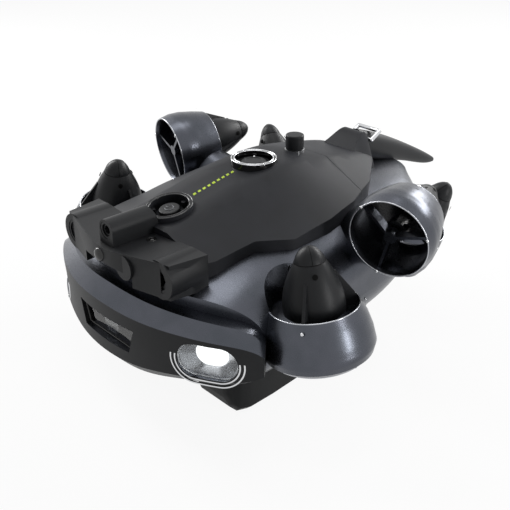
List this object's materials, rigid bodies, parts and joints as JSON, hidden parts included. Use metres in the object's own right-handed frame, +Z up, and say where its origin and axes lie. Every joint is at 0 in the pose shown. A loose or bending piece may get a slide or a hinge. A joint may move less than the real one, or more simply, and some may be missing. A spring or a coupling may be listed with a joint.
{
  "type": "underwater inspection vehicle",
  "caption": "Compact free-swimming underwater inspection vehicle with ducted thrusters, camera visor, head lamps, sensor bar and tail.",
  "frame": {"origin": "centre of the flat round accessory plate under the hull, on the ground", "axes": "+Z up, -Y towards the nose, +X to the left side of the vehicle"},
  "size_m": [0.3434, 0.422, 0.1671],
  "materials": {
    "hull_paint": "satin metallic paint",
    "clear_glass": "clear",
    "dark_glass": "dark coated",
    "polished_steel": "polished",
    "reflector": "satin reflector",
    "lamp_white": "phosphor on white",
    "gloss_black": "gloss",
    "propeller_black": "moulded semi gloss",
    "tube_aluminium": "anodised",
    "battery_wrap": "shrink wrap",
    "foot_black": "moulded",
    "cover_black": "fine texture",
    "matte_black": "fine texture"
  },
  "bodies": {
    "hull": {"accessory_plate": "foot_black", "bar_bezels": "matte_black", "bar_lenses": "dark_glass", "battery_pack": "battery_wrap", "camera_barrel": "matte_black", "camera_lens": "dark_glass", "camera_window": "clear_glass", "duct_front_left": "hull_paint", "duct_front_right": "hull_paint", "duct_middle_left": "hull_paint", "duct_middle_right": "hull_paint", "duct_rear_left": "hull_paint", "duct_rear_right": "hull_paint", "electronics_tube": "tube_aluminium", "hull_lower": "hull_paint", "hull_upper": "hull_paint", "lamp_board_left": "lamp_white", "lamp_board_right": "lamp_white", "lamp_reflector_left": "reflector", "lamp_reflector_right": "reflector", "lamp_trim_left": "polished_steel", "lamp_trim_right": "polished_steel", "lamp_window_left": "clear_glass", "lamp_window_right": "clear_glass", "motor_pod_front_left": "matte_black", "motor_pod_front_right": "matte_black", "motor_pod_middle_left": "matte_black", "motor_pod_middle_right": "matte_black", "motor_pod_rear_left": "matte_black", "motor_pod_rear_right": "matte_black", "pod_nose_front_left": "matte_black", "pod_nose_front_right": "matte_black", "pod_nose_middle_left": "matte_black", "pod_nose_middle_right": "matte_black", "pod_nose_rear_left": "matte_black", "pod_nose_rear_right": "matte_black", "port_ring": "gloss_black", "power_bezel": "cover_black", "rear_deck": "cover_black", "sensor_bar": "matte_black", "skid_left": "foot_black", "skid_right": "foot_black", "sonar_puck": "matte_black", "tail_fin": "matte_black", "tether_socket": "polished_steel", "top_cover": "cover_black", "visor": "matte_black"},
    "port_plug": {"port_plug": "matte_black"},
    "power_button": {"power_button": "matte_black"},
    "propeller_front_left": {"propeller_front_left": "propeller_black"},
    "propeller_front_right": {"propeller_front_right": "propeller_black"},
    "propeller_middle_left": {"propeller_middle_left": "propeller_black"},
    "propeller_middle_right": {"propeller_middle_right": "propeller_black"},
    "propeller_rear_left": {"propeller_rear_left": "propeller_black"},
    "propeller_rear_right": {"propeller_rear_right": "propeller_black"},
    "tail_shackle": {"tail_shackle": "polished_steel"},
    "tether_cap": {"tether_cap": "matte_black"}
  },
  "joints": [
    {"name": "propeller_front_left_spin", "type": "hinge", "parent": "hull", "child": "propeller_front_left", "pos_m": [0.1302, -0.056, 0.0535], "axis": [-0.1501, -0.02, 0.9885], "continuous": true},
    {"name": "propeller_front_right_spin", "type": "hinge", "parent": "hull", "child": "propeller_front_right", "pos_m": [-0.1302, -0.056, 0.0535], "axis": [0.1501, -0.02, 0.9885], "continuous": true},
    {"name": "propeller_middle_left_spin", "type": "hinge", "parent": "hull", "child": "propeller_middle_left", "pos_m": [0.1333, 0.0139, 0.1248], "axis": [-0.2451, 0.9614, 0.1251], "continuous": true},
    {"name": "propeller_middle_right_spin", "type": "hinge", "parent": "hull", "child": "propeller_middle_right", "pos_m": [-0.1333, 0.0139, 0.1248], "axis": [0.2451, 0.9614, 0.1251], "continuous": true},
    {"name": "propeller_rear_left_spin", "type": "hinge", "parent": "hull", "child": "propeller_rear_left", "pos_m": [0.068, 0.11, 0.059], "axis": [0.4996, 0.1699, 0.8494], "continuous": true},
    {"name": "propeller_rear_right_spin", "type": "hinge", "parent": "hull", "child": "propeller_rear_right", "pos_m": [-0.068, 0.11, 0.059], "axis": [-0.4996, 0.1699, 0.8494], "continuous": true},
    {"name": "power_button_press", "type": "slide", "parent": "hull", "child": "power_button", "axis": [0, 0.1874, -0.9823], "range_m": [0, 0.0015], "stiffness_N_per_m": 400, "springref_m": -0.001},
    {"name": "port_plug_lift", "type": "slide", "parent": "hull", "child": "port_plug", "axis": [0, 0, 1], "range_m": [0, 0.012]},
    {"name": "tether_cap_lift", "type": "slide", "parent": "hull", "child": "tether_cap", "axis": [0, 0, 1], "range_m": [0, 0.018]},
    {"name": "tail_shackle_swing", "type": "hinge", "parent": "hull", "child": "tail_shackle", "pos_m": [0, 0.14, 0.143], "axis": [1, 0, 0], "range_deg": [0, 60]}
  ]
}
